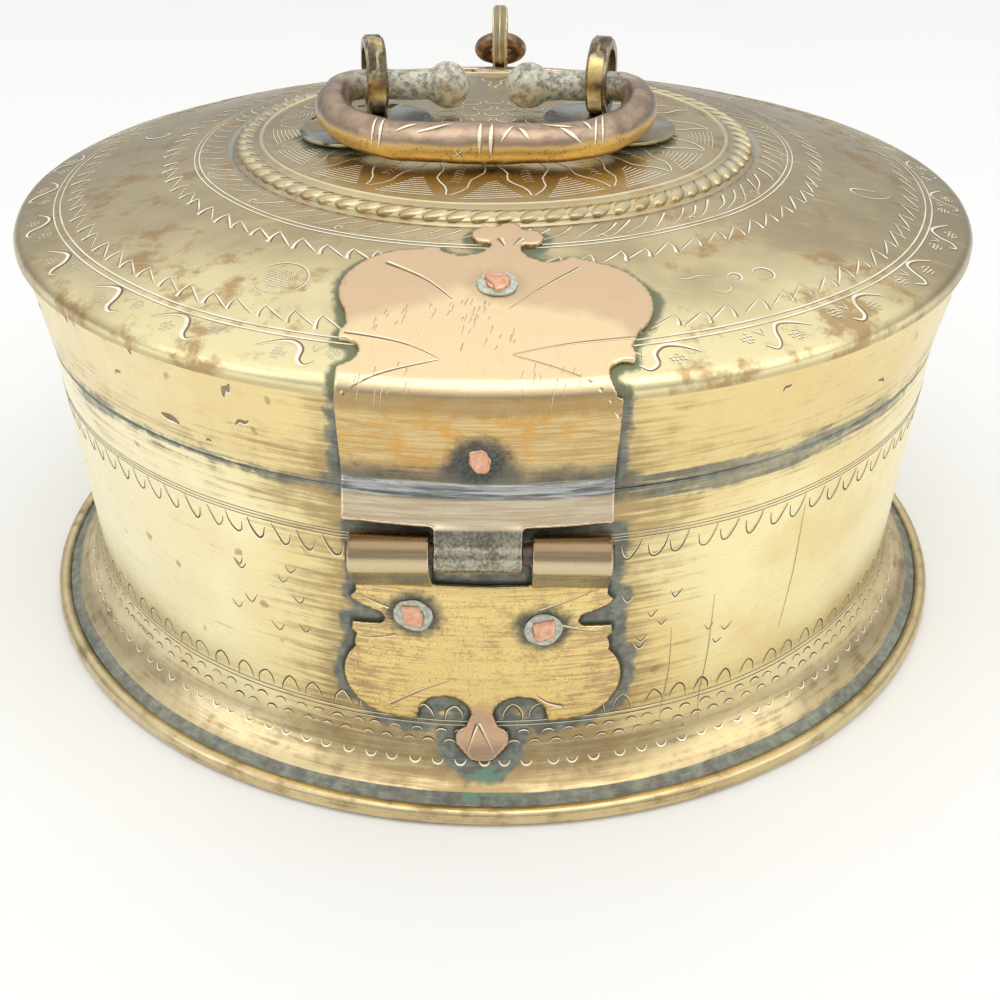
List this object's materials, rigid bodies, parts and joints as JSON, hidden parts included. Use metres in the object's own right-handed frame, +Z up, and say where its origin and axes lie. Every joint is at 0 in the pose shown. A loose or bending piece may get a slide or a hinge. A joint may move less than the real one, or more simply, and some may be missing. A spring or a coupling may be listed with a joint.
{
  "type": "chapati box",
  "caption": "Round brass flatbread box with a flared foot, hinged domed lid, C-shaped carrying handle and a front clasp for a lock pin.",
  "frame": {"origin": "centre of the flat foot, on the surface it stands on", "axes": "+Z up through the box's own axis, -Y towards the hinge, +Y towards the clasp, +X along the hinge pin"},
  "size_m": [0.26, 0.26, 0.1486],
  "materials": {
    "wall_brass": "brushed, worn",
    "lid_brass": "engraved, tarnished",
    "plate_brass": "scratched, worn",
    "rivet_copper": "hammered copper",
    "pale_ring": "tinned, dull",
    "washer_metal": "grey, tarnished",
    "pin_steel": "worn",
    "cast_loops": "cast, bevelled, worn",
    "handle_bronze": "cast, polished by use",
    "ring_bronze": "cast, dark"
  },
  "bodies": {
    "box_body": {"base_tray": "wall_brass", "drum_wall": "wall_brass", "mouth_collar": "wall_brass", "rear_lower_plate": "plate_brass", "rear_lower_rivets": "rivet_copper", "rear_lower_rivet_rings": "pale_ring", "rear_hinge_pin": "pin_steel", "front_lower_plate": "plate_brass", "front_lower_rivets": "rivet_copper", "front_lower_rivet_rings": "pale_ring", "box_inner_washers": "washer_metal"},
    "lid": {"lid_dome": "lid_brass", "lid_side_band": "wall_brass", "rear_upper_plate": "plate_brass", "rear_upper_rivets": "rivet_copper", "rear_upper_rivet_ring": "pale_ring", "front_upper_plate": "plate_brass", "front_upper_rivet": "rivet_copper", "lid_inner_washers": "washer_metal", "handle_loop_left": "cast_loops", "handle_loop_right": "cast_loops", "loop_washer_left": "washer_metal", "loop_washer_right": "washer_metal", "loop_inner_washers": "washer_metal", "front_loop": "cast_loops"},
    "carrying_handle": {"carrying_handle": "handle_bronze"},
    "pull_ring": {"pull_ring": "ring_bronze"}
  },
  "joints": [
    {"name": "lid_hinge", "type": "hinge", "parent": "box_body", "child": "lid", "pos_m": [0, -0.1242, 0.0716], "axis": [1, 0, 0], "range_deg": [0, 165]},
    {"name": "handle_swing", "type": "hinge", "parent": "lid", "child": "carrying_handle", "pos_m": [-0.0016, 0, 0.13602], "axis": [-1, 0, 0], "range_deg": [0, 165]},
    {"name": "ring_swing", "type": "hinge", "parent": "lid", "child": "pull_ring", "pos_m": [0, 0.0922, 0.12869], "axis": [1, 0, 0], "range_deg": [0, 220]}
  ]
}
